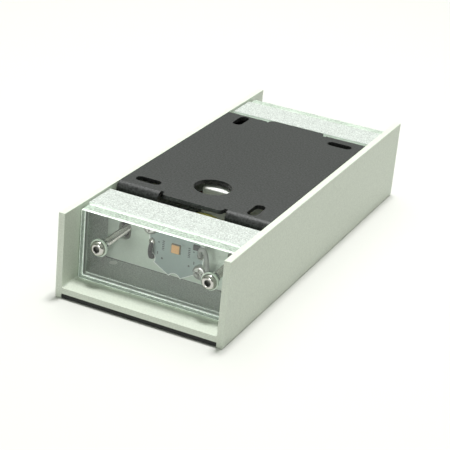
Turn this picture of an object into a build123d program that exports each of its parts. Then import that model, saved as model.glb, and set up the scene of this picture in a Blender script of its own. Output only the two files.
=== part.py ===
"""Up-and-down wall light: aluminium housing, black wall bracket and an LED chamber at each end.

The light lies on its front panel. X runs across it, Y along it and Z up, towards the wall side.
The origin is the centre of the footprint, on the surface that it lies on. The lower chamber is at
the -Y end. The upper chamber is the same piece turned half round about Z.
"""

from build123d import *
from math import pi, radians, sqrt, tan
import os

os.makedirs("parts", exist_ok=True)

# Driving dimensions, in millimetres
length = 160.0
width = 65.0
height = 32.0
wall = 2.4
web_bottom = 1.75
web_thickness = 2.2
recess_radius = 0.8
panel_gap = 0.2

glass_depth = 9.75
glass_thickness = 5.0
glass_width = 59.2
glass_bottom = 4.05
glass_top = 30.65
glass_corner = 0.8
glass_hole_radius = 2.1
gasket_thickness = 0.5
gasket_border = 1.3

frame_width = 60.0
frame_bottom = 4.0
frame_top = 31.2
frame_wall = 1.5
frame_length = 14.35
frame_corner = 0.6
frame_screw_x = 24.0
frame_screw_setback = 11.75
plate_thickness = 2.0
plate_width = 59.6
plate_top = 29.9
plate_slot_length = 7.4
plate_slot_width = 4.9
lead_hole_radius = 1.1
lead_holes = [(-9.7, 11.2), (13.9, 10.4)]

screw_spacing = 43.0
screw_height = 18.1
screw_radius = 1.5
screw_length = 30.0
tapped_radius = 1.55
clearance_radius = 1.7
washer_thickness = 0.8
washer_radius = 3.2
button_radius = 2.85
button_height = 1.65
button_round = 1.4
socket_flats = 2.0
socket_depth = 1.0
sunk_head_radius = 2.9
pan_head_radius = 2.75
pan_head_height = 1.8
pan_head_round = 1.0

board_height = 17.5
board_thickness = 1.6
board_corner_radius = 12.5
notch_circle = 12.2
notch_radius = 2.4
board_screw_circle = 11.8
pad_reach = 9.6
lead_radius = 0.8
diode_width = 2.4
diode_height = 2.0
led_side = 3.5
led_base_height = 0.6
led_face_side = 3.0
led_face_height = 0.3
solder_radius = 1.5
solder_height = 0.9
board_screw_height = 1.9
cross_length = 3.0
cross_width = 0.6

bracket_width = 59.8
bracket_length = 93.3
bracket_shift = 1.4
bracket_thickness = 1.5
bend_radius = 2.5
flange_bottom = 13.0
flange_slot_width = 3.6
tab_width = 23.8
relief_width = 1.4
relief_depth = 2.7
tab_corner = 1.8
flange_corner = 1.5
slot_length = 10.0
slot_width = 4.0
slot_spacing_x = 43.0
slot_spacing_y = 77.0
cable_hole_radius = 7.0
cable_hole_y = -28.2
bar_thickness = 2.0
bar_width = 54.0
bar_height = 6.5
bar_gap = 0.1

driver_left = -6.4
driver_width = 33.2
driver_near = -23.6
driver_length = 58.0
driver_top = 29.0
case_wall = 1.5
lid_thickness = 1.8
lug_length = 6.0
lug_width = 8.0
lug_thickness = 2.0
entry_radius = 1.3
board_lift = 1.0
driver_board_thickness = 1.2
transformer_size = (14.0, 16.0, 14.0)
capacitor_radius = 4.0
capacitor_height = 12.0

terminal_x = -19.0
terminal_near = -19.5
terminal_length = 13.0
terminal_pitch = 7.4
terminal_height = 11.0
terminal_axis = 10.0
terminal_lug = 5.0
pole_gap = 1.4
pole_spacing = 6.4
well_radius = 2.1
clamp_radius = 2.0
clamp_bore = 1.2
clamp_setback = 2.0
mount_head_radius = 2.4
mount_head_height = 1.6
mains_radius = 1.1
earth_x = 25.5
earth_y = -31.6
ring_radius = 3.6
ring_thickness = 0.8
barrel_radius = 1.75
barrel_length = 4.4
barrel_axis = 5.7

# Worked out from the driving dimensions
half_length = length / 2
channel = width - 2 * wall
web_top = web_bottom + web_thickness
glass_back = glass_depth + glass_thickness
frame_depth = glass_back + gasket_thickness
plate_depth = frame_depth + frame_length
plate_back = plate_depth + plate_thickness
board_depth = plate_depth - board_thickness
under_head = glass_depth - washer_thickness
screw_xs = (-screw_spacing / 2, screw_spacing / 2)
ends = (("lower", 1), ("upper", -1))


def save(piece, label):
    """Label one finished piece and write its STEP file."""
    piece.label = label
    export_step(piece, f"parts/{label}.step")


def end_plane(direction, depth):
    """Return the plane at a depth from one end, facing out of it, with its local y as height."""
    origin = (0, -direction * (half_length - depth), 0)
    return Plane(origin=origin, x_dir=(direction, 0, 0), z_dir=(0, -direction, 0))


def from_end(direction, points):
    """Turn points given as across, depth and height at one end into points of the whole light."""
    return [(direction * x, -direction * (half_length - depth), z) for x, depth, z in points]


def round_wire(points, radius):
    """Return a round wire along straight runs joined by arcs as large as the runs allow."""
    corners = [Vector(*point) for point in points]
    radii = []
    for before, corner, after in zip(corners, corners[1:], corners[2:]):
        turn = radians((corner - before).get_angle(after - corner))
        shorter = min((corner - before).length, (after - corner).length)
        radii.append(0.45 * shorter / tan(turn / 2))
    with BuildPart() as piece:
        with BuildLine() as route:
            FilletPolyline(*corners, radius=radii)
        path = route.wires()[0]
        with BuildSketch(Plane(origin=path @ 0, z_dir=path % 0)):
            Circle(radius)
        sweep(path=path)
    expected = path.length * pi * radius**2
    print(f"wire {path.length:.1f} mm, volume ratio {piece.part.volume / expected:.3f}, radii",
          [round(value, 1) for value in radii])
    return piece.part


# Housing: one extrusion, two side walls joined by a web, with tapped and countersunk holes
driver_middle = driver_left + driver_width / 2
lug_ys = (driver_near - lug_length / 2, driver_near + driver_length + lug_length / 2)
terminal_far = terminal_near + terminal_length
terminal_mid_y = (terminal_near + terminal_far) / 2
terminal_lug_ys = (terminal_near - terminal_lug / 2, terminal_far + terminal_lug / 2)
frame_screw_depth = frame_depth + frame_screw_setback
frame_screw_points = [point for _, direction in ends
                      for point in from_end(direction, [
                          (-frame_screw_x, frame_screw_depth, web_bottom),
                          (frame_screw_x, frame_screw_depth, web_bottom)])]
web_holes = [(driver_middle, y) for y in lug_ys]
web_holes += [(terminal_x, y) for y in terminal_lug_ys]
web_holes += [(earth_x, earth_y)]

with BuildPart() as housing:
    with BuildSketch(Plane.XZ):
        with Locations((0, height / 2)):
            Rectangle(width, height)
        with Locations((0, (web_top + height) / 2)):
            Rectangle(channel, height - web_top, mode=Mode.SUBTRACT)
        with Locations((0, web_bottom / 2)):
            Rectangle(channel, web_bottom, mode=Mode.SUBTRACT)
    extrude(amount=half_length, both=True)
    recess_edges = housing.edges().filter_by(Axis.Y).filter_by(
        lambda edge: abs(edge.center().Z - web_top) < 0.01)
    fillet(recess_edges, radius=recess_radius)
    outer_edges = housing.edges().filter_by(Axis.Y).filter_by(
        lambda edge: abs(abs(edge.center().X) - width / 2) < 0.01)
    fillet(outer_edges, radius=0.3)
    with Locations([(x, y, web_top) for x, y in web_holes]):
        Hole(radius=tapped_radius, depth=web_thickness)
    with Locations([Plane(origin=point, z_dir=(0, 0, -1)) for point in frame_screw_points]):
        CounterSinkHole(radius=clearance_radius, counter_sink_radius=sunk_head_radius + 0.1,
                        depth=web_thickness)
save(housing.part, "housing")

# Front panel: a black insert glued below the web, over the screw heads
with BuildPart() as front_panel:
    with BuildSketch(Plane.XY.offset(panel_gap)):
        Rectangle(channel - 0.1, length)
    extrude(amount=web_bottom - panel_gap)
    chamfer(front_panel.faces().sort_by(Axis.Z)[0].edges(), length=0.25)
save(front_panel.part, "front_panel")

# Wall bracket: one bent steel blank. Its plate is flush with the side walls.
bracket_near = bracket_shift - bracket_length / 2
bracket_far = bracket_shift + bracket_length / 2
flange_depth = {"lower": bracket_near + half_length, "upper": half_length - bracket_far}
middle_cut = tab_width + 2 * relief_width

with BuildPart() as wall_bracket:
    with BuildSketch(Plane.YZ):
        with Locations((bracket_shift, (flange_bottom + height) / 2)):
            Rectangle(bracket_length, height - flange_bottom)
        fillet(vertices().group_by(Axis.Y)[-1], radius=bend_radius)
    extrude(amount=bracket_width / 2, both=True)
    inner_top = height - bracket_thickness
    with BuildSketch(Plane.YZ):
        with Locations((bracket_shift, (flange_bottom + inner_top) / 2)):
            Rectangle(bracket_length - 2 * bracket_thickness, inner_top - flange_bottom)
        fillet(vertices().group_by(Axis.Y)[-1], radius=bend_radius - bracket_thickness)
    extrude(amount=bracket_width / 2, both=True, mode=Mode.SUBTRACT)
    for edge_y in (bracket_near, bracket_far):
        inward = 1 if edge_y < 0 else -1
        with BuildSketch(Plane.XY.offset(flange_bottom)):
            with Locations((0, edge_y + inward * relief_depth / 2)):
                Rectangle(middle_cut, relief_depth)
        extrude(amount=height - flange_bottom, mode=Mode.SUBTRACT)
        with BuildSketch(Plane.XY.offset(height - bracket_thickness)):
            with Locations((0, edge_y + inward * (relief_depth + 1) / 2)):
                Rectangle(tab_width, relief_depth + 1)
        extrude(amount=bracket_thickness)
        tab_corners = wall_bracket.edges().filter_by(Axis.Z).filter_by(
            lambda edge: abs(edge.center().Y - edge_y) < 0.01
            and abs(abs(edge.center().X) - tab_width / 2) < 0.01)
        fillet(tab_corners, radius=tab_corner)
    slot_signs = ((-1, -1, 0), (1, -1, 90), (-1, 1, 90), (1, 1, 0))
    for sign_x, sign_y, turn in slot_signs:
        with BuildSketch(Plane.XY.offset(height)):
            place = (sign_x * slot_spacing_x / 2, bracket_shift + sign_y * slot_spacing_y / 2)
            with Locations(place):
                SlotOverall(slot_length, slot_width, rotation=turn)
        extrude(amount=-bracket_thickness, mode=Mode.SUBTRACT)
    with BuildSketch(Plane.XY.offset(height)):
        with Locations((0, cable_hole_y)):
            Circle(cable_hole_radius)
    extrude(amount=-bracket_thickness, mode=Mode.SUBTRACT)
    with BuildSketch(Plane.XZ):
        with Locations([(x, flange_bottom) for x in screw_xs]):
            Rectangle(flange_slot_width, 2 * (screw_height - flange_bottom))
        with Locations([(x, screw_height) for x in screw_xs]):
            Circle(flange_slot_width / 2)
    extrude(amount=half_length, both=True, mode=Mode.SUBTRACT)
    lower_corners = wall_bracket.edges().filter_by(Axis.Y).filter_by(
        lambda edge: edge.center().Z < flange_bottom + 0.01
        and abs(abs(edge.center().X) - bracket_width / 2) < 0.01)
    fillet(lower_corners, radius=flange_corner)
save(wall_bracket.part, "wall_bracket")

# The chamber at each end, from the glass inwards
for end, direction in ends:
    with BuildPart() as window_glass:
        with BuildSketch(end_plane(direction, glass_depth)):
            with Locations((0, (glass_bottom + glass_top) / 2)):
                RectangleRounded(glass_width, glass_top - glass_bottom, glass_corner)
            with Locations([(x, screw_height) for x in screw_xs]):
                Circle(glass_hole_radius, mode=Mode.SUBTRACT)
        extrude(amount=-glass_thickness)
    save(window_glass.part, f"{end}_window_glass")

    with BuildPart() as window_gasket:
        with BuildSketch(end_plane(direction, glass_back)):
            with Locations((0, (glass_bottom + glass_top) / 2)):
                RectangleRounded(glass_width, glass_top - glass_bottom, glass_corner)
                Rectangle(glass_width - 2 * gasket_border,
                          glass_top - glass_bottom - 2 * gasket_border, mode=Mode.SUBTRACT)
        extrude(amount=-gasket_thickness)
    save(window_gasket.part, f"{end}_window_gasket")

    with BuildPart() as chamber_frame:
        with BuildSketch(end_plane(direction, frame_depth)):
            frame_height = frame_top - frame_bottom
            with Locations((0, (frame_bottom + frame_top) / 2)):
                RectangleRounded(frame_width, frame_height, frame_corner)
                Rectangle(frame_width - 2 * frame_wall, frame_height - 2 * frame_wall,
                          mode=Mode.SUBTRACT)
        extrude(amount=-frame_length)
        screw_points = from_end(direction, [
            (-frame_screw_x, frame_screw_depth, frame_bottom + frame_wall),
            (frame_screw_x, frame_screw_depth, frame_bottom + frame_wall)])
        with Locations(screw_points):
            Hole(radius=tapped_radius, depth=frame_wall)
    save(chamber_frame.part, f"{end}_chamber_frame")

    board_screw_xy = [(board_screw_circle * cosine, board_height + board_screw_circle * sine)
                      for cosine, sine in ((sqrt(3) / 2, -0.5), (-sqrt(3) / 2, 0.5))]

    with BuildPart() as back_plate:
        with BuildSketch(end_plane(direction, plate_depth)):
            with Locations((0, (glass_bottom + plate_top) / 2)):
                RectangleRounded(plate_width, plate_top - glass_bottom, glass_corner)
            with Locations([(x, screw_height) for x in screw_xs]):
                SlotOverall(plate_slot_length, plate_slot_width, rotation=90, mode=Mode.SUBTRACT)
            with Locations(board_screw_xy):
                Circle(tapped_radius, mode=Mode.SUBTRACT)
            with Locations(lead_holes):
                Circle(lead_hole_radius, mode=Mode.SUBTRACT)
        extrude(amount=-plate_thickness)
    save(back_plate.part, f"{end}_back_plate")

    bar_depth = flange_depth[end] + bracket_thickness + bar_gap
    with BuildPart() as clamp_bar:
        with BuildSketch(end_plane(direction, bar_depth)):
            with Locations((0, screw_height)):
                RectangleRounded(bar_width, bar_height, 1.0)
            with Locations([(x, screw_height) for x in screw_xs]):
                Circle(tapped_radius, mode=Mode.SUBTRACT)
        extrude(amount=-bar_thickness)
    save(clamp_bar.part, f"{end}_clamp_bar")

    with BuildPart() as window_screws:
        with BuildSketch(end_plane(direction, under_head)):
            with Locations([(x, screw_height) for x in screw_xs]):
                Circle(screw_radius)
        extrude(amount=-screw_length)
        with BuildSketch(end_plane(direction, under_head)):
            with Locations([(x, screw_height) for x in screw_xs]):
                Circle(button_radius)
        extrude(amount=button_height)
        rims = window_screws.edges().filter_by(GeomType.CIRCLE).filter_by(
            lambda edge: edge.radius > 2.8).sort_by(Axis.Y)
        outer_rims = rims[:2] if direction > 0 else rims[-2:]
        fillet(outer_rims, radius=button_round)
        with BuildSketch(end_plane(direction, under_head - button_height)):
            with Locations([(x, screw_height) for x in screw_xs]):
                RegularPolygon(socket_flats / 2, 6, major_radius=False)
        extrude(amount=-socket_depth, mode=Mode.SUBTRACT)
    save(window_screws.part, f"{end}_window_screws")

    with BuildPart() as screw_washers:
        with BuildSketch(end_plane(direction, under_head)):
            with Locations([(x, screw_height) for x in screw_xs]):
                Circle(washer_radius)
                Circle(screw_radius + 0.1, mode=Mode.SUBTRACT)
        extrude(amount=-washer_thickness)
    save(screw_washers.part, f"{end}_screw_washers")

    with BuildPart() as frame_screws:
        for x, y, z in from_end(direction, [(-frame_screw_x, frame_screw_depth, web_bottom),
                                            (frame_screw_x, frame_screw_depth, web_bottom)]):
            with BuildSketch(Plane(origin=(x, y, z))):
                Circle(sunk_head_radius)
            extrude(amount=sunk_head_radius - screw_radius, taper=45)
            with BuildSketch(Plane(origin=(x, y, z))):
                Circle(screw_radius)
            extrude(amount=frame_bottom + frame_wall - web_bottom)
            with BuildSketch(Plane(origin=(x, y, z))):
                RegularPolygon(socket_flats / 2, 6, major_radius=False)
            extrude(amount=socket_depth - 0.1, mode=Mode.SUBTRACT)
    save(frame_screws.part, f"{end}_frame_screws")

    # Star-shaped board with a notch at each of its six corners
    with BuildPart() as led_board:
        with BuildSketch(end_plane(direction, board_depth)):
            with Locations((0, board_height)):
                RegularPolygon(board_corner_radius, 6, rotation=30)
                with PolarLocations(notch_circle, 6, start_angle=30):
                    Circle(notch_radius, mode=Mode.SUBTRACT)
        extrude(amount=-board_thickness)
    save(led_board.part, f"{end}_led_board")

    with BuildPart() as led_base:
        with BuildSketch(end_plane(direction, board_depth)):
            with Locations((0, board_height)):
                Rectangle(led_side, led_side)
        extrude(amount=led_base_height)
    save(led_base.part, f"{end}_led_base")

    with BuildPart() as led_face:
        with BuildSketch(end_plane(direction, board_depth - led_base_height)):
            with Locations((0, board_height)):
                RectangleRounded(led_face_side, led_face_side, 0.3)
        extrude(amount=led_face_height)
    save(led_face.part, f"{end}_led_face")

    joint_points = [(-pad_reach, board_height), (pad_reach, board_height)]
    with BuildPart() as solder_joints:
        with BuildSketch(end_plane(direction, board_depth)):
            with Locations(joint_points):
                Circle(solder_radius)
        extrude(amount=solder_height, taper=35)
    save(solder_joints.part, f"{end}_solder_joints")

    with BuildPart() as board_screws:
        with BuildSketch(end_plane(direction, board_depth)):
            with Locations(board_screw_xy):
                Circle(pan_head_radius)
        extrude(amount=board_screw_height)
        rims = board_screws.edges().filter_by(GeomType.CIRCLE).sort_by(Axis.Y)
        fillet(rims[:2] if direction > 0 else rims[-2:], radius=1.1)
        with BuildSketch(end_plane(direction, board_depth - board_screw_height)):
            with Locations(board_screw_xy):
                Rectangle(cross_length, cross_width)
                Rectangle(cross_width, cross_length)
        extrude(amount=-1.0, mode=Mode.SUBTRACT)
        with BuildSketch(end_plane(direction, board_depth)):
            with Locations(board_screw_xy):
                Circle(screw_radius)
        extrude(amount=-(board_thickness + 2.6))
    save(board_screws.part, f"{end}_board_screws")

    with BuildPart() as board_diode:
        with BuildSketch(end_plane(direction, board_depth)):
            with Locations((7.9, board_height + 2.7)):
                Rectangle(diode_width, diode_height)
        extrude(amount=0.7)
        chamfer(board_diode.faces().sort_by(Axis.Y)[0 if direction > 0 else -1].edges(), length=0.15)
    save(board_diode.part, f"{end}_board_diode")

    # Two wires from the solder joints through the back plate to the driver
    left_route = [(-9.3, 26.2, 16.6), (-9.2, 25.9, 14.0), (-9.4, 27.6, 11.4), (-9.7, 33.0, 11.2)]
    right_route = [(9.8, 26.6, 18.6), (10.2, 25.3, 21.0), (12.0, 25.2, 21.2), (13.2, 25.6, 17.4),
                   (13.7, 25.9, 13.0), (13.9, 28.2, 10.4), (13.9, 32.4, 10.4)]
    if end == "lower":
        left_route += [(-9.6, 38.2, 10.4), (-8.0, 44.0, 8.9), (-4.4, 49.6, 8.6),
                       (-3.2, 53.6, 8.8), (-3.2, 57.9, 9.0)]
        right_route += [(14.2, 38.0, 9.6), (9.5, 43.5, 8.8), (3.9, 49.0, 8.6),
                        (2.0, 53.4, 8.8), (2.0, 57.9, 9.0)]
    else:
        left_route += [(-8.8, 37.5, 10.6), (-5.0, 41.4, 9.9), (-3.4, 43.9, 9.8),
                       (-3.4, 47.1, 9.8)]
        right_route += [(12.9, 37.0, 10.1), (6.6, 41.4, 9.9), (2.6, 43.6, 9.8),
                        (2.6, 47.1, 9.8)]
    lead_pieces = [round_wire(from_end(direction, route), lead_radius)
                   for route in (left_route, right_route)]
    with BuildPart() as led_leads:
        for lead_piece in lead_pieces:
            add(lead_piece)
    save(led_leads.part, f"{end}_led_leads")

# LED driver: white plastic case with a lid, screwed to the web
driver_far = driver_near + driver_length
driver_mid_y = (driver_near + driver_far) / 2
lid_bottom = driver_top - lid_thickness
with BuildPart() as driver_case:
    with BuildSketch(Plane.XY.offset(web_top)):
        with Locations((driver_middle, driver_mid_y)):
            RectangleRounded(driver_width, driver_length, 1.0)
    extrude(amount=lid_bottom - web_top)
    with BuildSketch(Plane.XY.offset(web_top + case_wall)):
        with Locations((driver_middle, driver_mid_y)):
            Rectangle(driver_width - 2 * case_wall, driver_length - 2 * case_wall)
    extrude(amount=lid_bottom - web_top, mode=Mode.SUBTRACT)
    with BuildSketch(Plane.XY.offset(web_top)):
        with Locations([(driver_middle, y) for y in lug_ys]):
            Rectangle(lug_width, lug_length)
    extrude(amount=lug_thickness)
    with Locations([(driver_middle, y, web_top + lug_thickness) for y in lug_ys]):
        Hole(radius=clearance_radius, depth=lug_thickness)
    lead_entries = [(-3.2, driver_near, 9.0, (0, 1, 0)), (2.0, driver_near, 9.0, (0, 1, 0)),
                    (3.4, driver_far, 9.8, (0, -1, 0)), (-2.6, driver_far, 9.8, (0, -1, 0)),
                    (driver_left, 7.0, 12.0, (1, 0, 0)), (driver_left, 12.8, 12.0, (1, 0, 0))]
    for x, y, z, inward in lead_entries:
        with BuildSketch(Plane(origin=(x, y, z), z_dir=inward)):
            Circle(entry_radius)
        extrude(amount=case_wall, mode=Mode.SUBTRACT)
save(driver_case.part, "driver_case")

with BuildPart() as driver_lid:
    with BuildSketch(Plane.XY.offset(lid_bottom)):
        with Locations((driver_middle, driver_mid_y)):
            RectangleRounded(driver_width, driver_length, 1.0)
    extrude(amount=lid_thickness)
    fillet(driver_lid.faces().sort_by(Axis.Z)[-1].edges(), radius=0.5)
save(driver_lid.part, "driver_lid")

board_bottom = web_top + case_wall + board_lift
with BuildPart() as driver_board:
    with BuildSketch(Plane.XY.offset(board_bottom)):
        with Locations((driver_middle, driver_mid_y)):
            Rectangle(driver_width - 2 * case_wall - 1, driver_length - 2 * case_wall - 6)
    extrude(amount=driver_board_thickness)
save(driver_board.part, "driver_board")

board_top = board_bottom + driver_board_thickness
transformer_width, transformer_length, transformer_height = transformer_size
with BuildPart() as driver_transformer:
    with BuildSketch(Plane.XY.offset(board_top)):
        with Locations((driver_middle + 6, driver_mid_y)):
            RectangleRounded(transformer_width, transformer_length, 1.0)
    extrude(amount=transformer_height)
save(driver_transformer.part, "driver_transformer")

with BuildPart() as driver_capacitors:
    with BuildSketch(Plane.XY.offset(board_top)):
        with Locations((driver_middle - 8, driver_mid_y - 14), (driver_middle - 8, driver_mid_y + 12)):
            Circle(capacitor_radius)
    extrude(amount=capacitor_height)
save(driver_capacitors.part, "driver_capacitors")

with BuildPart() as driver_screws:
    with BuildSketch(Plane.XY.offset(web_top + lug_thickness)):
        with Locations([(driver_middle, y) for y in lug_ys]):
            Circle(pan_head_radius)
    extrude(amount=pan_head_height)
    fillet(driver_screws.edges().filter_by(GeomType.CIRCLE).group_by(Axis.Z)[-1],
           radius=pan_head_round)
    with BuildSketch(Plane.XY.offset(web_bottom)):
        with Locations([(driver_middle, y) for y in lug_ys]):
            Circle(screw_radius)
    extrude(amount=web_thickness + lug_thickness)
save(driver_screws.part, "driver_screws")

# Terminal block between the driver and the left wall, with three brass clamps
terminal_xs = [terminal_x + step * terminal_pitch for step in (-1, 0, 1)]
block_top = web_top + terminal_height
pole_ys = (terminal_mid_y - pole_spacing / 2, terminal_mid_y + pole_spacing / 2)
near_face = Plane(origin=(0, terminal_near, 0), x_dir=(1, 0, 0), z_dir=(0, -1, 0))
with BuildPart() as terminal_block:
    with BuildSketch(Plane.XY.offset(web_top)):
        with Locations([(x, terminal_mid_y) for x in terminal_xs]):
            RectangleRounded(terminal_pitch - pole_gap, terminal_length, 1.0)
    extrude(amount=terminal_height)
    with BuildSketch(Plane.XY.offset(web_top)):
        with Locations((terminal_x, terminal_mid_y)):
            Rectangle(2 * terminal_pitch, terminal_length - 3)
    extrude(amount=terminal_height - 4)
    with BuildSketch(Plane.XY.offset(web_top)):
        with Locations((terminal_x, terminal_mid_y)):
            RectangleRounded(terminal_pitch, terminal_length + 2 * terminal_lug, 1.5)
    extrude(amount=lug_thickness)
    with Locations([(terminal_x, y, web_top + lug_thickness) for y in terminal_lug_ys]):
        Hole(radius=clearance_radius, depth=lug_thickness)
    with BuildSketch(near_face):
        with Locations([(x, terminal_axis) for x in terminal_xs]):
            Circle(well_radius)
    extrude(amount=-terminal_length, mode=Mode.SUBTRACT)
    with Locations([(x, y, block_top) for x in terminal_xs for y in pole_ys]):
        Hole(radius=1.5, depth=block_top - terminal_axis)
save(terminal_block.part, "terminal_block")

with BuildPart() as terminal_clamps:
    with BuildSketch(near_face.offset(-clamp_setback)):
        with Locations([(x, terminal_axis) for x in terminal_xs]):
            Circle(clamp_radius)
            Circle(clamp_bore, mode=Mode.SUBTRACT)
    extrude(amount=-(terminal_length - 2 * clamp_setback))
    with Locations([(x, y, terminal_axis + clamp_radius) for x in terminal_xs for y in pole_ys]):
        Hole(radius=clamp_bore + 0.05, depth=clamp_radius)
save(terminal_clamps.part, "terminal_clamps")

with BuildPart() as terminal_screws:
    with BuildSketch(Plane.XY.offset(terminal_axis + clamp_bore)):
        with Locations([(x, y) for x in terminal_xs for y in pole_ys]):
            Circle(clamp_bore)
    extrude(amount=3.4)
    with BuildSketch(Plane.XY.offset(terminal_axis + clamp_bore + 3.4)):
        with Locations([(x, y) for x in terminal_xs for y in pole_ys]):
            Rectangle(2.6, 0.5)
    extrude(amount=-0.7, mode=Mode.SUBTRACT)
save(terminal_screws.part, "terminal_screws")

with BuildPart() as terminal_mount_screws:
    with BuildSketch(Plane.XY.offset(web_top + lug_thickness)):
        with Locations([(terminal_x, y) for y in terminal_lug_ys]):
            Circle(mount_head_radius)
    extrude(amount=mount_head_height)
    fillet(terminal_mount_screws.edges().filter_by(GeomType.CIRCLE).group_by(Axis.Z)[-1],
           radius=pan_head_round)
    with BuildSketch(Plane.XY.offset(web_bottom)):
        with Locations([(terminal_x, y) for y in terminal_lug_ys]):
            Circle(screw_radius)
    extrude(amount=web_thickness + lug_thickness)
save(terminal_mount_screws.part, "terminal_mount_screws")

# Mains wires from the terminal block to the driver
input_routes = [[(terminal_xs[0], terminal_far - 1.4, terminal_axis), (-26.2, -2.5, 10.3),
                 (-21.5, 7.2, 11.8), (-13.0, 12.2, 12.1), (driver_left + case_wall, 12.8, 12.0)],
                [(terminal_xs[1], terminal_far - 1.4, terminal_axis), (-18.8, -2.9, 10.3),
                 (-15.4, 4.0, 11.8), (-10.5, 6.6, 12.1), (driver_left + case_wall, 7.0, 12.0)]]
input_pieces = [round_wire(route, mains_radius) for route in input_routes]
with BuildPart() as input_leads:
    for input_piece in input_pieces:
        add(input_piece)
save(input_leads.part, "input_leads")

# Earth wire: a loose loop from the terminal block up to the bracket's tab and down to the web
earth_route = [(terminal_xs[2], terminal_near + 1.4, terminal_axis), (-11.5, -22.8, 10.2),
               (-10.6, -29.0, 14.0), (-7.6, -36.0, 20.6), (-0.4, -41.2, 25.6), (5.6, -43.2, 27.7),
               (9.8, -42.2, 26.3), (11.4, -38.8, 21.0), (11.0, -35.6, 13.6), (11.8, -33.2, 8.2),
               (14.2, -31.7, barrel_axis), (earth_x - 5.6, earth_y, barrel_axis)]
earth_piece = round_wire(earth_route, mains_radius)
with BuildPart() as earth_wire:
    add(earth_piece)
save(earth_wire.part, "earth_wire")

with BuildPart() as earth_terminal:
    with BuildSketch(Plane.XY.offset(web_top)):
        with Locations((earth_x, earth_y)):
            Circle(ring_radius)
        with Locations((earth_x - ring_radius, earth_y)):
            Rectangle(4.0, 3.4)
        with Locations((earth_x, earth_y)):
            Circle(clearance_radius, mode=Mode.SUBTRACT)
    extrude(amount=ring_thickness)
    with BuildSketch(Plane(origin=(earth_x - 4.8, earth_y, barrel_axis), z_dir=(-1, 0, 0))):
        Circle(barrel_radius)
    extrude(amount=barrel_length)
    with BuildSketch(Plane(origin=(earth_x - 5.5, earth_y, barrel_axis), z_dir=(-1, 0, 0))):
        Circle(barrel_radius - 0.5)
    extrude(amount=barrel_length, mode=Mode.SUBTRACT)
save(earth_terminal.part, "earth_terminal")

with BuildPart() as earth_screw:
    with BuildSketch(Plane.XY.offset(web_top + ring_thickness)):
        with Locations((earth_x, earth_y)):
            Circle(pan_head_radius)
    extrude(amount=pan_head_height)
    fillet(earth_screw.edges().filter_by(GeomType.CIRCLE).group_by(Axis.Z)[-1],
           radius=pan_head_round)
    with BuildSketch(Plane.XY.offset(web_bottom)):
        with Locations((earth_x, earth_y)):
            Circle(screw_radius)
    extrude(amount=web_thickness + ring_thickness)
save(earth_screw.part, "earth_screw")
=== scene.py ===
import bmesh
import bpy
from math import cos, pi, radians, sin
from mathutils import Matrix, Vector


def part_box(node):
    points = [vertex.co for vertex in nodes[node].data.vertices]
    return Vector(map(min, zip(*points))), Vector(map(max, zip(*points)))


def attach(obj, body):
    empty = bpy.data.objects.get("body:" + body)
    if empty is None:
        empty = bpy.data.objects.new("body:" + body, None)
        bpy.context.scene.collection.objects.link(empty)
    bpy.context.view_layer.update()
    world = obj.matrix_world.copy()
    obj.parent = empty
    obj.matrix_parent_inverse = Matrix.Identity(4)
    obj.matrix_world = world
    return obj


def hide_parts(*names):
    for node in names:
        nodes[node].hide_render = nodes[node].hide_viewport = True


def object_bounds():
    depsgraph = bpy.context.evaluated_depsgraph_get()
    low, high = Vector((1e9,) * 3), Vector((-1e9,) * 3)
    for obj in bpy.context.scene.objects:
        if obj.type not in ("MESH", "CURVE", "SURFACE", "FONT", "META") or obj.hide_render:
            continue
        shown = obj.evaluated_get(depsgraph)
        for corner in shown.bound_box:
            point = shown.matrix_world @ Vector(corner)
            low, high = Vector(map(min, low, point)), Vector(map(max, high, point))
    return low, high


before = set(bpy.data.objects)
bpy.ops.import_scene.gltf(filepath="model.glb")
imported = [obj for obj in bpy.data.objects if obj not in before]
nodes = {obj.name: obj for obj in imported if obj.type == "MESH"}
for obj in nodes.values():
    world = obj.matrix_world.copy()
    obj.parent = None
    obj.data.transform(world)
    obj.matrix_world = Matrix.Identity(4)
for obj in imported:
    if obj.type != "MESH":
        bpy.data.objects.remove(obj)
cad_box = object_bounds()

# Camera and studio: the light lies on a pale table, seen from above its lower end. A small
# strong lamp hangs over it, a wide soft one hangs behind it, a weak one stands low before the
# lower end, and a pale room gives the rest of the light.
azimuth = 0.4183
elevation = 0.4256
roll = 0.0951
distance = 0.5056
aim_right = 0.0299
aim_up = 0.0329
back = Vector((sin(azimuth) * cos(elevation), -cos(azimuth) * cos(elevation), sin(elevation)))
level_right = Vector((cos(azimuth), sin(azimuth), 0))
level_up = back.cross(level_right)
right = cos(roll) * level_right + sin(roll) * level_up
up = cos(roll) * level_up - sin(roll) * level_right
spot = Vector((0, cad_box[0][1], 0)) + aim_right * right + aim_up * up + distance * back

camera_data = bpy.data.cameras.new("camera")
camera_data.lens = 119.27
camera_data.sensor_width = 36
camera_data.clip_start = 0.01
camera = bpy.data.objects.new("camera", camera_data)
camera.matrix_world = Matrix((
    (right.x, up.x, back.x, spot.x),
    (right.y, up.y, back.y, spot.y),
    (right.z, up.z, back.z, spot.z),
    (0, 0, 0, 1)))
bpy.context.scene.collection.objects.link(camera)
bpy.context.scene.camera = camera
bpy.context.scene.view_settings.view_transform = "Standard"


def hang_lamp(name, place, aim, size, power):
    """Hang one square area lamp and turn it towards a point."""
    lamp_data = bpy.data.lights.new(name, "AREA")
    lamp_data.size = size
    lamp_data.energy = power
    lamp = bpy.data.objects.new(name, lamp_data)
    lamp.location = place
    lamp.rotation_euler = (Vector(aim) - Vector(place)).to_track_quat("-Z", "Y").to_euler()
    bpy.context.scene.collection.objects.link(lamp)


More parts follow.
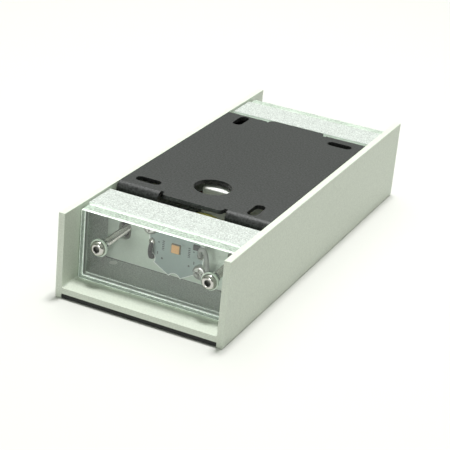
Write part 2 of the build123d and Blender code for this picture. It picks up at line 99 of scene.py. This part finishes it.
hang_lamp("key_lamp", (0.01, 0.09, 1.20), (0, 0, 0.02), 0.17, 15.0)
hang_lamp("ceiling_lamp", (-0.12, 0.35, 0.90), (0, 0, 0.02), 0.90, 5.0)
hang_lamp("low_lamp", (-0.08, -0.85, 0.16), (0, -0.05, 0.018), 0.20, 0.85)

world = bpy.data.worlds.new("studio")
world.use_nodes = True
bpy.context.scene.world = world
sky = world.node_tree.nodes["Background"]
sky.inputs["Color"].default_value = (0.90, 1.0, 0.86, 1)
room = world.node_tree.nodes.new("ShaderNodeTexCoord")
room_axes = world.node_tree.nodes.new("ShaderNodeSeparateXYZ")
room_light = world.node_tree.nodes.new("ShaderNodeMapRange")
room_light.inputs["From Min"].default_value = 0.0
room_light.inputs["From Max"].default_value = 0.7
room_light.inputs["To Min"].default_value = 0.16
room_light.inputs["To Max"].default_value = 0.55
world.node_tree.links.new(room.outputs["Generated"], room_axes.inputs[0])
world.node_tree.links.new(room_axes.outputs["Z"], room_light.inputs["Value"])
world.node_tree.links.new(room_light.outputs["Result"], sky.inputs["Strength"])

table_size = 6
table_gap = 0.0001
bpy.ops.object.select_all(action="DESELECT")
bpy.ops.mesh.primitive_plane_add(size=table_size, location=(0, 0, -table_gap))
table = bpy.context.object
table.name = "table"
table_paint = bpy.data.materials.new("table_paint")
table_paint.use_nodes = True
table_shader = table_paint.node_tree.nodes["Principled BSDF"]
table_shader.inputs["Base Color"].default_value = (0.56, 0.555, 0.54, 1)
table_shader.inputs["Roughness"].default_value = 0.7
table.data.materials.append(table_paint)


# Housing: one length of aluminium extrusion, finely blasted and clear anodised. The speckled
# finish group below is its grain, and other blasted, coated and moulded pieces use it too.
def wire(tree, source, target):
    """Join two sockets in a node tree."""
    tree.links.new(source, target)


def math_node(tree, operation, *operands):
    """Add one math node, whose operands are sockets or numbers, and return its output."""
    node = tree.nodes.new("ShaderNodeMath")
    node.operation = operation
    for index, value in enumerate(operands):
        if isinstance(value, (int, float)):
            node.inputs[index].default_value = value
        else:
            wire(tree, value, node.inputs[index])
    return node.outputs[0]


def start_group(name, numbers, colours, results):
    """Start a shader node group with named inputs and outputs."""
    tree = bpy.data.node_groups.new(name, "ShaderNodeTree")
    for label, value in colours:
        socket = tree.interface.new_socket(label, in_out="INPUT", socket_type="NodeSocketColor")
        socket.default_value = value
    for label, value in numbers:
        socket = tree.interface.new_socket(label, in_out="INPUT", socket_type="NodeSocketFloat")
        socket.default_value = value
    for label, kind in results:
        tree.interface.new_socket(label, in_out="OUTPUT", socket_type="NodeSocket" + kind)
    return tree, tree.nodes.new("NodeGroupInput").outputs, tree.nodes.new("NodeGroupOutput").inputs


noise_middle = 0.5
speckle, given, result = start_group(
    "speckled_finish",
    (("Scale", 2500.0), ("Contrast", 0.1), ("Bump", 0.0001), ("Base Roughness", 0.5),
     ("Patch Scale", 40.0), ("Patch Contrast", 0.05)),
    (("Tint", (0.8, 0.8, 0.8, 1)),),
    (("Color", "Color"), ("Roughness", "Float"), ("Normal", "Vector")))
place = speckle.nodes.new("ShaderNodeTexCoord")
grain = speckle.nodes.new("ShaderNodeTexNoise")
grain.inputs["Detail"].default_value = 3
patch = speckle.nodes.new("ShaderNodeTexNoise")
wire(speckle, place.outputs["Object"], grain.inputs["Vector"])
wire(speckle, given["Scale"], grain.inputs["Scale"])
wire(speckle, place.outputs["Object"], patch.inputs["Vector"])
wire(speckle, given["Patch Scale"], patch.inputs["Scale"])
grain_part = math_node(speckle, "MULTIPLY", math_node(
    speckle, "SUBTRACT", grain.outputs["Fac"], noise_middle), given["Contrast"])
patch_part = math_node(speckle, "MULTIPLY", math_node(
    speckle, "SUBTRACT", patch.outputs["Fac"], noise_middle), given["Patch Contrast"])
gain = math_node(speckle, "ADD", math_node(speckle, "ADD", grain_part, patch_part), 1)
shade = speckle.nodes.new("ShaderNodeVectorMath")
shade.operation = "SCALE"
wire(speckle, given["Tint"], shade.inputs[0])
wire(speckle, gain, shade.inputs["Scale"])
wire(speckle, shade.outputs[0], result["Color"])
wire(speckle, math_node(speckle, "ADD", given["Base Roughness"], patch_part), result["Roughness"])
relief = speckle.nodes.new("ShaderNodeBump")
wire(speckle, given["Bump"], relief.inputs["Distance"])
wire(speckle, grain.outputs["Fac"], relief.inputs["Height"])
wire(speckle, relief.outputs["Normal"], result["Normal"])


def speckled(name, tint, roughness, metallic=0.0, **changes):
    """Make a material with the speckled finish, and return it."""
    material = bpy.data.materials.new(name)
    material.use_nodes = True
    tree = material.node_tree
    shader = tree.nodes["Principled BSDF"]
    shader.inputs["Metallic"].default_value = metallic
    finish = tree.nodes.new("ShaderNodeGroup")
    finish.name = "finish"
    finish.node_tree = speckle
    finish.inputs["Tint"].default_value = (*tint, 1)
    finish.inputs["Base Roughness"].default_value = roughness
    for label, value in changes.items():
        finish.inputs[label.replace("_", " ")].default_value = value
    wire(tree, finish.outputs["Color"], shader.inputs["Base Color"])
    wire(tree, finish.outputs["Roughness"], shader.inputs["Roughness"])
    wire(tree, finish.outputs["Normal"], shader.inputs["Normal"])
    return material


def shader_inputs(material):
    """Return the inputs of a material's shader."""
    return material.node_tree.nodes["Principled BSDF"].inputs


def paint(name, material):
    """Give a carried-over CAD node its finish."""
    nodes[name].data.materials.clear()
    nodes[name].data.materials.append(material)


satin = speckled(
    "satin_aluminium", (0.60, 0.64, 0.56), 0.40, 0.12,
    Scale=1800.0, Contrast=0.40, Bump=0.00003, Patch_Contrast=0.03)
paint("housing", satin)

# Front panel: a black anodised strip glued into the front of the extrusion, which is the face
# that people see when the light hangs on its wall.
panel_black = speckled(
    "panel_black", (0.012, 0.013, 0.012), 0.45,
    Scale=4000.0, Contrast=0.4, Bump=0.00001)
shader_inputs(panel_black)["Specular IOR Level"].default_value = 0.3
paint("front_panel", panel_black)

# Wall bracket: one steel blank with four flanges bent down at its ends, powder coated in matt
# black. The coat has a fine, dense texture.
powder = speckled(
    "powder_coat", (0.024, 0.0245, 0.025), 0.40,
    Scale=1500.0, Contrast=5.0, Bump=0.00005, Patch_Contrast=0.08)
paint("wall_bracket", powder)

# Chamber frames, back plates and hardware of both ends. The frames are blasted aluminium whose
# end faces are painted bright as a highlight, and the plates are mill aluminium with a painted
# shade line where they join the web. Screws and clamp bars are zinc plated, gaskets silicone,
# washers nylon.
end_highlight_limit = 0.7
painted_end_highlight = (0.94, 0.98, 0.95)
shade_line_height = 0.0055
shade_line_half_width = 0.00028
joint_painted_shade = (0.16, 0.18, 0.16)


def mixed(tree, factor, first, second):
    """Mix two colours, each a socket or a fixed colour, and return the result's socket."""
    node = tree.nodes.new("ShaderNodeMix")
    node.data_type = "RGBA"
    wire(tree, factor, node.inputs["Factor"])
    for label, colour in (("A", first), ("B", second)):
        if isinstance(colour, tuple):
            node.inputs[label].default_value = (*colour, 1)
        else:
            wire(tree, colour, node.inputs[label])
    return node.outputs["Result"]


def axes_of(tree, output):
    """Return the X, Y and Z of a piece's own coordinates or normals."""
    axes = tree.nodes.new("ShaderNodeSeparateXYZ")
    wire(tree, tree.nodes.new("ShaderNodeTexCoord").outputs[output], axes.inputs[0])
    return axes.outputs


def plain_colour(material):
    """Return the colour that the speckled finish gives a material."""
    return material.node_tree.nodes["finish"].outputs["Color"]


blasted = speckled(
    "blasted_aluminium", (0.45, 0.475, 0.455), 0.50, 0.2,
    Scale=2200.0, Contrast=2.0, Bump=0.00016, Patch_Contrast=0.04)
tree = blasted.node_tree
# Painted highlight: the frame's faces that look along the housing are painted bright.
end_facing = math_node(tree, "ABSOLUTE", axes_of(tree, "Normal")["Y"])
end_highlight_mask = math_node(tree, "GREATER_THAN", end_facing, end_highlight_limit)
wire(tree, mixed(tree, end_highlight_mask, plain_colour(blasted), painted_end_highlight),
     shader_inputs(blasted)["Base Color"])
mill = speckled(
    "mill_aluminium", (0.63, 0.72, 0.63), 0.45, 0.2,
    Scale=1500.0, Contrast=0.12, Patch_Contrast=0.12)
tree = mill.node_tree
# Painted shade: a thin dark line on the plate just above the web, where the plate meets it.
joint_shade_mask = math_node(tree, "COMPARE", axes_of(tree, "Object")["Z"], shade_line_height,
                       shade_line_half_width)
wire(tree, mixed(tree, joint_shade_mask, plain_colour(mill), joint_painted_shade),
     shader_inputs(mill)["Base Color"])
silicone = speckled(
    "clear_silicone", (0.84, 0.90, 0.84), 0.5, Scale=1500.0, Contrast=0.1)
zinc = speckled(
    "zinc_plate", (0.66, 0.66, 0.64), 0.28, 1.0, Scale=1500.0, Contrast=0.1)
nylon = speckled(
    "white_nylon", (0.80, 0.90, 0.80), 0.42, Scale=1500.0, Contrast=0.05)
for end in ("lower", "upper"):
    paint(f"{end}_chamber_frame", blasted)
    paint(f"{end}_back_plate", mill)
    paint(f"{end}_window_gasket", silicone)
    paint(f"{end}_screw_washers", nylon)
    for hardware in ("clamp_bar", "frame_screws", "board_screws"):
        paint(f"{end}_{hardware}", zinc)

# Window glass: a 5 mm float pane in each end, cut with a wheel. Its edges are ground, which leaves
# them white and half clear, with a faint painted glow; its arrises are taken off and carry a
# brighter painted glow, and two holes are drilled for the long screws.
glass_index = 1.52
glass = bpy.data.materials.new("clear_glass")
glass.use_nodes = True
glass_tree = glass.node_tree
glass_shader = glass_tree.nodes["Principled BSDF"]
glass_shader.inputs["Base Color"].default_value = (0.99, 1.0, 0.99, 1)
glass_shader.inputs["Roughness"].default_value = 0.0
glass_shader.inputs["IOR"].default_value = glass_index
glass_shader.inputs["Transmission Weight"].default_value = 1.0
clear = glass_tree.nodes.new("ShaderNodeBsdfTransparent")
clear.inputs["Color"].default_value = (0.99, 1.0, 0.99, 1)
ray = glass_tree.nodes.new("ShaderNodeLightPath")
glass_mix = glass_tree.nodes.new("ShaderNodeMixShader")
wire(glass_tree, ray.outputs["Is Shadow Ray"], glass_mix.inputs["Fac"])
wire(glass_tree, glass_shader.outputs["BSDF"], glass_mix.inputs[1])
wire(glass_tree, clear.outputs["BSDF"], glass_mix.inputs[2])
glass_surface = glass_tree.nodes["Material Output"].inputs["Surface"]
wire(glass_tree, glass_mix.outputs["Shader"], glass_surface)

ground = speckled(
    "ground_glass", (0.60, 0.69, 0.60), 0.5,
    Scale=1300.0, Contrast=2.2, Bump=0.0003, Patch_Scale=160.0, Patch_Contrast=0.5)
shader_inputs(ground)["IOR"].default_value = glass_index
shader_inputs(ground)["Transmission Weight"].default_value = 0.55
# Painted glow: the ground edges give off a faint light of their own.
shader_inputs(ground)["Emission Color"].default_value = (0.80, 1.0, 0.82, 1)
shader_inputs(ground)["Emission Strength"].default_value = 0.07
arris = speckled(
    "glass_arris", (0.95, 0.99, 0.95), 0.35, Scale=900.0, Contrast=1.4, Patch_Scale=220.0,
    Patch_Contrast=1.2)
# Painted glow: the arrises give off a brighter light of their own, so they show as bright lines.
shader_inputs(arris)["Emission Color"].default_value = (0.85, 1.0, 0.87, 1)
shader_inputs(arris)["Emission Strength"].default_value = 0.35

corner_radius = 0.0008
arris_width = 0.0004
hole_radius = 0.0021
hole_spacing = 0.043
screw_height = 0.0181
drill_length = 0.02
facing_out = 0.95
facing_along = 0.1


def select_edges(mesh, through):
    """Select the edges that run through the glass, or else those around its two faces."""
    for edge in mesh.edges:
        run = abs(edge.verts[0].co.y - edge.verts[1].co.y)
        edge.select = (run > corner_radius) == through
    mesh.select_flush_mode()


def tidy_piece(piece, angle):
    """Smooth a finished piece by angle and put its place into its mesh."""
    bpy.ops.object.select_all(action="DESELECT")
    piece.select_set(True)
    bpy.context.view_layer.objects.active = piece
    bpy.ops.object.transform_apply(location=True, rotation=True, scale=True)
    bpy.ops.object.shade_smooth_by_angle(angle=radians(angle))


def join_to(piece, name, body, replaced):
    """Name a piece, let it ride on its body, and hide the node it stands for."""
    piece.name = name
    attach(piece, body)
    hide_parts(replaced)


for end in ("lower", "upper"):
    low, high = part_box(f"{end}_window_glass")
    centre = (Vector(low) + Vector(high)) / 2
    bpy.ops.object.select_all(action="DESELECT")
    bpy.ops.mesh.primitive_cube_add(size=1, location=centre, scale=Vector(high) - Vector(low))
    pane = bpy.context.object
    bpy.ops.object.transform_apply(location=True, rotation=True, scale=True)
    for material in (glass, ground, arris):
        pane.data.materials.append(material)
    bpy.ops.object.mode_set(mode="EDIT")
    bpy.ops.mesh.select_mode(type="EDGE")
    work = bmesh.from_edit_mesh(pane.data)
    select_edges(work, True)
    bpy.ops.mesh.bevel(offset=corner_radius, segments=4)
    work = bmesh.from_edit_mesh(pane.data)
    select_edges(work, False)
    bpy.ops.mesh.bevel(offset=arris_width, segments=1)
    work = bmesh.from_edit_mesh(pane.data)
    work.normal_update()
    for face in work.faces:
        facing = abs(face.normal.y)
        face.material_index = 0 if facing > facing_out else (1 if facing < facing_along else 2)
    bpy.ops.object.mode_set(mode="OBJECT")
    for side in (-1, 1):
        bpy.ops.object.select_all(action="DESELECT")
        bpy.ops.mesh.primitive_cylinder_add(
            vertices=40, radius=hole_radius, depth=drill_length, rotation=(pi / 2, 0, 0),
            location=(side * hole_spacing / 2, centre.y, screw_height))
        drill = bpy.context.object
        cut = pane.modifiers.new("hole", "BOOLEAN")
        cut.operation = "DIFFERENCE"
        cut.object = drill
        bpy.context.view_layer.objects.active = pane
        bpy.ops.object.modifier_apply(modifier="hole")
        bpy.data.objects.remove(drill)
    tidy_piece(pane, 20)
    join_to(pane, f"{end}_window_pane", f"{end}_window", f"{end}_window_glass")

# Long window screws: stainless M3 button heads with a hexagon socket, forged, whose inside has
# painted shade. Each shank has a rolled thread, turned here as rings of half a millimetre pitch.
stainless = speckled(
    "stainless", (0.58, 0.57, 0.54), 0.13, 1.0, Scale=900.0, Contrast=0.08, Bump=0.000004)
socket_shade_paint = speckled(
    "socket_shade", (0.22, 0.22, 0.21), 0.35, 1.0, Scale=900.0, Contrast=0.1)


def turned(rings, sides):
    """Turn a piece from rings of radius and height, as on a lathe, and leave it selected."""
    bpy.ops.object.select_all(action="DESELECT")
    bpy.ops.mesh.primitive_circle_add(vertices=sides, radius=rings[0][0], fill_type="NGON",
                                      location=(0, 0, rings[0][1]))
    piece = bpy.context.object
    bpy.ops.object.transform_apply(location=True)
    bpy.ops.object.mode_set(mode="EDIT")
    bpy.ops.mesh.select_all(action="SELECT")
    for (radius, height), (next_radius, next_height) in zip(rings, rings[1:]):
        bpy.ops.mesh.extrude_region_move(
            TRANSFORM_OT_translate={"value": (0, 0, next_height - height)})
        ratio = next_radius / radius
        bpy.ops.transform.resize(value=(ratio, ratio, 1), center_override=(0, 0, next_height))
    bpy.ops.mesh.select_all(action="SELECT")
    bpy.ops.mesh.normals_make_consistent(inside=False)
    bpy.ops.object.mode_set(mode="OBJECT")
    return piece


head_radius = 0.00285
head_height = 0.00165
head_break = 0.0001
dome = 0.0014
dome_steps = 8
screw_sides = 32
screw_twist = 0.2
socket_radius = 0.00125
socket_mouth = 0.0014
socket_floor = 0.0003
broach_length = 0.002
shank_length = 0.030
shank_tip = 0.000861
thread_pitch = 0.0005
thread_outer = 0.0015
thread_root = 0.00123
thread_profile = ((thread_root, 0.1), (thread_outer, 0.45), (thread_outer, 0.6),
                  (thread_root, 0.95))
screw_rings = [(shank_tip, -shank_length)]
for turn in range(int(shank_length / thread_pitch)):
    for radius, part in thread_profile:
        screw_rings.append((radius, -shank_length + (turn + part) * thread_pitch))
screw_rings += [(head_radius - head_break, 0), (head_radius, head_break)]
for step in range(1, dome_steps + 1):
    bend = step / dome_steps * pi / 2
    screw_rings.append((head_radius - dome * (1 - cos(bend)),
                        head_height - dome + dome * sin(bend)))
screw_rings += [(socket_mouth, head_height), (socket_radius, head_height - head_break)]

screw_blank = turned(screw_rings, screw_sides)
bpy.ops.object.select_all(action="DESELECT")
bpy.ops.mesh.primitive_cylinder_add(vertices=6, radius=socket_radius, depth=broach_length,
                                    location=(0, 0, socket_floor + broach_length / 2))
broach = bpy.context.object
socket_cut = screw_blank.modifiers.new("socket", "BOOLEAN")
socket_cut.operation = "DIFFERENCE"
socket_cut.object = broach
bpy.context.view_layer.objects.active = screw_blank
bpy.ops.object.modifier_apply(modifier="socket")
bpy.data.objects.remove(broach)
screw_blank.data.materials.append(stainless)
screw_blank.data.materials.append(socket_shade_paint)
# The socket's inside gets the painted shade material.
for face in screw_blank.data.polygons:
    below_top = 0 < face.center.z < head_height - head_break / 2
    if below_top and face.center.xy.length < socket_radius:
        face.material_index = 1

for end, outward in (("lower", -1), ("upper", 1)):
    low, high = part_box(f"{end}_window_screws")
    outer_face = low[1] if outward < 0 else high[1]
    for side, hand in ((-1, "left"), (1, "right")):
        screw = screw_blank.copy()
        screw.data = screw_blank.data.copy()
        bpy.context.scene.collection.objects.link(screw)
        screw.rotation_euler = (-outward * pi / 2, side * screw_twist, 0)
        screw.location = (side * hole_spacing / 2, outer_face - outward * head_height,
                          screw_height)
        tidy_piece(screw, 40)
        join_to(screw, f"{end}_{hand}_window_screw", f"{end}_window",
                f"{end}_window_screws")
bpy.data.objects.remove(screw_blank)

# LED boards: an aluminium star with a grey solder mask, printed marks beside the LED, bare
# aluminium edges with a painted edge highlight, and the LED's ceramic base and yellow face in its
# middle.
mask = speckled(
    "board_mask", (0.33, 0.41, 0.39), 0.38, Scale=900.0, Contrast=0.05)
tree = mask.node_tree
board_axes = axes_of(tree, "Object")
across = math_node(tree, "ABSOLUTE", board_axes["X"])
board_middle = 0.0175
board_flat = 0.01083
notch_circle = 0.0122
notch_radius = 0.0024
rim_highlight_width = 0.00032
bare_edge_and_rim_highlight = (0.85, 0.90, 0.86)
print_dark = (0.05, 0.055, 0.06)
print_strength = 0.9
stroke_rate = 9000
stroke_gap = -0.2
stroke_row = (0.0051, board_middle, 0.0009, 0.0040)
small_prints = ((0.0069, 0.0182, 0.0005, 0.0005), (0.0053, 0.0123, 0.0007, 0.0007),
                (0.0072, 0.0140, 0.0004, 0.0011))
board_facing = 0.5


def printed_bar(x, z, width, tall):
    """Return a mask of one printed bar, centred at x and z on both sides of the board."""
    inside_x = math_node(tree, "COMPARE", across, x, width / 2)
    inside_z = math_node(tree, "COMPARE", board_axes["Z"], z, tall / 2)
    return math_node(tree, "MULTIPLY", inside_x, inside_z)


strokes = math_node(tree, "SINE", math_node(tree, "MULTIPLY", board_axes["Z"], stroke_rate))
ink = math_node(tree, "MULTIPLY", printed_bar(*stroke_row),
                math_node(tree, "GREATER_THAN", strokes, stroke_gap))
for bar in small_prints:
    ink = math_node(tree, "MAXIMUM", ink, printed_bar(*bar))
from_middle = tree.nodes.new("ShaderNodeCombineXYZ")
wire(tree, board_axes["X"], from_middle.inputs["X"])
wire(tree, math_node(tree, "SUBTRACT", board_axes["Z"], board_middle), from_middle.inputs["Y"])


def measured(operation, across_board, up_board):
    """Measure from a point on the board, or along a direction, as the operation says."""
    node = tree.nodes.new("ShaderNodeVectorMath")
    node.operation = operation
    wire(tree, from_middle.outputs[0], node.inputs[0])
    node.inputs[1].default_value = (across_board, up_board, 0)
    return node.outputs["Value"]


# Painted highlight: a thin bright band along the board's outline on its face, in the same colour
# as the bare edge faces.
rim_highlight = 0
for corner in range(6):
    turn = pi / 6 + corner * pi / 3
    to_notch = measured("DISTANCE", notch_circle * cos(turn), notch_circle * sin(turn))
    to_side = measured("DOT_PRODUCT", cos(turn - pi / 6), sin(turn - pi / 6))
    near_notch = math_node(tree, "LESS_THAN", to_notch, notch_radius + rim_highlight_width)
    near_side = math_node(tree, "GREATER_THAN", to_side, board_flat - rim_highlight_width)
    rim_highlight = math_node(tree, "MAXIMUM", math_node(tree, "MAXIMUM", near_notch, near_side), rim_highlight)
board_front = math_node(tree, "GREATER_THAN", math_node(
    tree, "ABSOLUTE", axes_of(tree, "Normal")["Y"]), board_facing)
coated = math_node(tree, "MULTIPLY", board_front, math_node(tree, "SUBTRACT", 1, rim_highlight))
inked = mixed(tree, math_node(tree, "MULTIPLY", ink, print_strength), plain_colour(mask),
              print_dark)
wire(tree, mixed(tree, coated, bare_edge_and_rim_highlight, inked), shader_inputs(mask)["Base Color"])

ceramic = speckled(
    "led_ceramic", (0.30, 0.25, 0.17), 0.5, Scale=2500.0, Contrast=0.1)
phosphor = speckled(
    "led_phosphor", (0.82, 0.46, 0.18), 0.3, Scale=2500.0, Contrast=0.1)
shader_inputs(phosphor)["Coat Weight"].default_value = 0.6
chip = speckled(
    "chip_black", (0.035, 0.035, 0.037), 0.45, Scale=2500.0, Contrast=0.2)
for end in ("lower", "upper"):
    paint(f"{end}_led_board", mask)
    paint(f"{end}_led_base", ceramic)
    paint(f"{end}_led_face", phosphor)
    paint(f"{end}_board_diode", chip)

# Solder joints: one bright mound of tin at each wire's end, drawn up along the wire.
tin = speckled(
    "solder_tin", (0.76, 0.76, 0.72), 0.16, 1.0, Scale=1200.0, Contrast=0.1)
pad_reach = 0.0096
mound_size = (0.0013, 0.0011, 0.0017)
mound_lean = 0.0004
mound_taper = 0.02
for end, outward in (("lower", -1), ("upper", 1)):
    low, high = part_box(f"{end}_led_board")
    board_face = low[1] if outward < 0 else high[1]
    for side, hand in ((-1, "left"), (1, "right")):
        bpy.ops.object.select_all(action="DESELECT")
        bpy.ops.mesh.primitive_uv_sphere_add(
            segments=24, ring_count=14, radius=1, scale=mound_size,
            location=(side * pad_reach, board_face, board_middle))
        mound = bpy.context.object
        bpy.ops.object.transform_apply(location=True, rotation=True, scale=True)
        bpy.ops.object.mode_set(mode="EDIT")
        bpy.ops.mesh.select_all(action="SELECT")
        bpy.ops.mesh.bisect(plane_co=(0, board_face, 0), plane_no=(0, -outward, 0),
                            use_fill=True, clear_outer=True)
        work = bmesh.from_edit_mesh(mound.data)
        for vertex in work.verts:
            rise = abs(vertex.co.y - board_face) / mound_size[1]
            vertex.co.z -= side * outward * mound_lean * rise * rise
            vertex.co.x *= 1 - mound_taper * rise
        bpy.ops.object.mode_set(mode="OBJECT")
        mound.data.materials.append(tin)
        tidy_piece(mound, 50)
        join_to(mound, f"{end}_{hand}_solder_joint", "light",
                f"{end}_solder_joints")

# Wires: soft silicone-covered leads from the solder joints through the back plate to the
# driver, PVC mains wires, and the yellow earth wire that arches up below the bracket's tab.
cover_dark = speckled(
    "lead_dark", (0.028, 0.028, 0.030), 0.38, Scale=900.0, Contrast=0.2)
cover_pale = speckled(
    "lead_pale", (0.36, 0.38, 0.36), 0.35, Scale=900.0, Contrast=0.1)
brown = speckled(
    "mains_brown", (0.16, 0.06, 0.025), 0.35, Scale=900.0, Contrast=0.1)
blue = speckled(
    "mains_blue", (0.03, 0.10, 0.32), 0.35, Scale=900.0, Contrast=0.1)
yellow = speckled(
    "earth_yellow", (1.0, 0.90, 0.28), 0.33, Scale=900.0, Contrast=0.1)


def lay_wire(name, route, radius, material, replaced):
    """Lay one round wire along a smooth curve near the route's points, in millimetres."""
    curve = bpy.data.curves.new(name, "CURVE")
    curve.dimensions = "3D"
    spline = curve.splines.new("NURBS")
    spline.points.add(len(route) - 1)
    for point, (x, y, z) in zip(spline.points, route):
        point.co = (x / 1000, y / 1000, z / 1000, 1)
    spline.order_u = 3
    spline.use_endpoint_u = True
    spline.resolution_u = 10
    curve.bevel_depth = radius
    curve.bevel_resolution = 6
    curve.use_fill_caps = True
    curve.materials.append(material)
    piece = bpy.data.objects.new(name, curve)
    bpy.context.scene.collection.objects.link(piece)
    bpy.ops.object.select_all(action="DESELECT")
    piece.select_set(True)
    bpy.context.view_layer.objects.active = piece
    bpy.ops.object.convert(target="MESH")
    tidy_piece(piece, 60)
    join_to(piece, name, "light", replaced)


lead_radius = 0.0008
mains_radius = 0.0011
half_length = cad_box[1][1] * 1000
lower_dark = [(-9.4, 27.4, 17.2), (-9.2, 26.1, 16.2), (-9.1, 25.9, 14.0), (-9.3, 27.4, 11.5),
              (-9.7, 33.0, 11.2), (-9.6, 38.2, 10.4), (-8.0, 44.0, 8.9), (-4.4, 49.6, 8.6),
              (-3.2, 53.6, 8.8), (-3.2, 57.9, 9.0)]
lower_pale = [(9.7, 27.5, 17.9), (9.9, 26.2, 19.2), (10.6, 25.2, 21.4), (12.4, 25.1, 21.4),
              (13.2, 25.6, 17.4), (13.7, 25.9, 13.0), (13.9, 28.2, 10.4), (14.0, 32.4, 10.3),
              (14.2, 38.0, 9.6), (9.5, 43.5, 8.8), (3.9, 49.0, 8.6), (2.0, 53.4, 8.8),
              (2.0, 57.9, 9.0)]
upper_dark = lower_dark[:5] + [(-8.8, 37.5, 10.6), (-5.0, 41.4, 9.9), (-3.4, 43.9, 9.8),
                               (-3.4, 47.1, 9.8)]
upper_pale = lower_pale[:8] + [(12.9, 37.0, 10.1), (6.6, 41.4, 9.9), (2.6, 43.6, 9.8),
                               (2.6, 47.1, 9.8)]
for end, outward, dark, pale in (("lower", -1, lower_dark, lower_pale),
                                 ("upper", 1, upper_dark, upper_pale)):
    for shade_name, route, material in (("dark", dark, cover_dark), ("pale", pale, cover_pale)):
        turned_route = [(-outward * x, outward * (half_length - depth), z)
                        for x, depth, z in route]
        lay_wire(f"{end}_{shade_name}_led_lead", turned_route, lead_radius, material,
                 f"{end}_led_leads")
lay_wire("brown_mains_wire",
         [(-26.4, -7.9, 10.0), (-26.2, -2.5, 10.3), (-21.5, 7.2, 11.8), (-13.0, 12.2, 12.1),
          (-4.9, 12.8, 12.0)], mains_radius, brown, "input_leads")
lay_wire("blue_mains_wire",
         [(-19.0, -7.9, 10.0), (-18.8, -2.9, 10.3), (-15.4, 4.0, 11.8), (-10.5, 6.6, 12.1),
          (-4.9, 7.0, 12.0)], mains_radius, blue, "input_leads")
lay_wire("yellow_earth_wire",
         [(-11.6, -18.1, 10.0), (-11.5, -22.8, 10.2), (-10.6, -29.0, 14.0), (-7.6, -36.0, 20.6),
          (-0.4, -41.2, 25.6), (5.6, -43.2, 27.7), (9.8, -42.2, 26.3), (11.4, -38.8, 21.0),
          (11.0, -35.6, 13.6), (11.8, -33.2, 8.2), (14.2, -31.7, 5.7), (19.9, -31.6, 5.7)],
         mains_radius, yellow, "earth_wire")

# Driver and terminal block: a white moulded LED driver screwed to the web under the cable
# hole, a white nylon terminal block beside it, and their screws, clamps and inner parts.
white_case = speckled(
    "white_case", (0.88, 0.88, 0.86), 0.45, Scale=2200.0, Contrast=0.04)
green_board = speckled("green_board", (0.03, 0.20, 0.09), 0.35)
brass = speckled("terminal_brass", (0.78, 0.58, 0.25), 0.3, 1.0)
for name in ("driver_case", "driver_lid", "terminal_block"):
    paint(name, white_case)
for name in ("driver_transformer", "driver_capacitors"):
    paint(name, chip)
for name in ("driver_screws", "terminal_screws", "terminal_mount_screws", "earth_screw",
             "earth_terminal"):
    paint(name, zinc)
paint("driver_board", green_board)
paint("terminal_clamps", brass)
